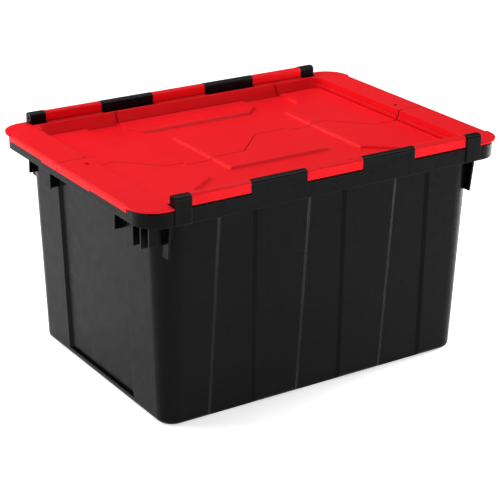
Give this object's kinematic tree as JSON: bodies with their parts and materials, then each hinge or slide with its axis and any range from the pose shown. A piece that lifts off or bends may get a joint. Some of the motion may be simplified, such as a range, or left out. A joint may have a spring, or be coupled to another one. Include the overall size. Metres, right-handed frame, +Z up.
{
  "type": "attached lid tote",
  "caption": "Rectangular plastic storage tote, black tub with a red lid in hinged interlocking leaves, shown closed.",
  "frame": {"origin": "middle of the underside of the tub, on the floor", "axes": "+X along the long side, +Y across the width towards the rear hinge line, +Z up"},
  "size_m": [0.555, 0.3956, 0.317],
  "materials": {
    "black_plastic": "satin moulded polypropylene",
    "red_plastic": "satin moulded polypropylene",
    "steel": "drawn wire"
  },
  "bodies": {
    "tub": {"tote_body": "black_plastic", "hinge_rod_front": "steel", "hinge_rod_rear": "steel"},
    "leaf_front": {"lid_leaf_front": "red_plastic"},
    "leaf_rear": {"lid_leaf_rear": "red_plastic"}
  },
  "joints": [
    {"name": "front_hinge", "type": "hinge", "parent": "tub", "child": "leaf_front", "pos_m": [0, -0.1895, 0.31], "axis": [1, 0, 0], "range_deg": [0, 245]},
    {"name": "rear_hinge", "type": "hinge", "parent": "tub", "child": "leaf_rear", "pos_m": [0, 0.1895, 0.31], "axis": [-1, 0, 0], "range_deg": [0, 245]}
  ]
}
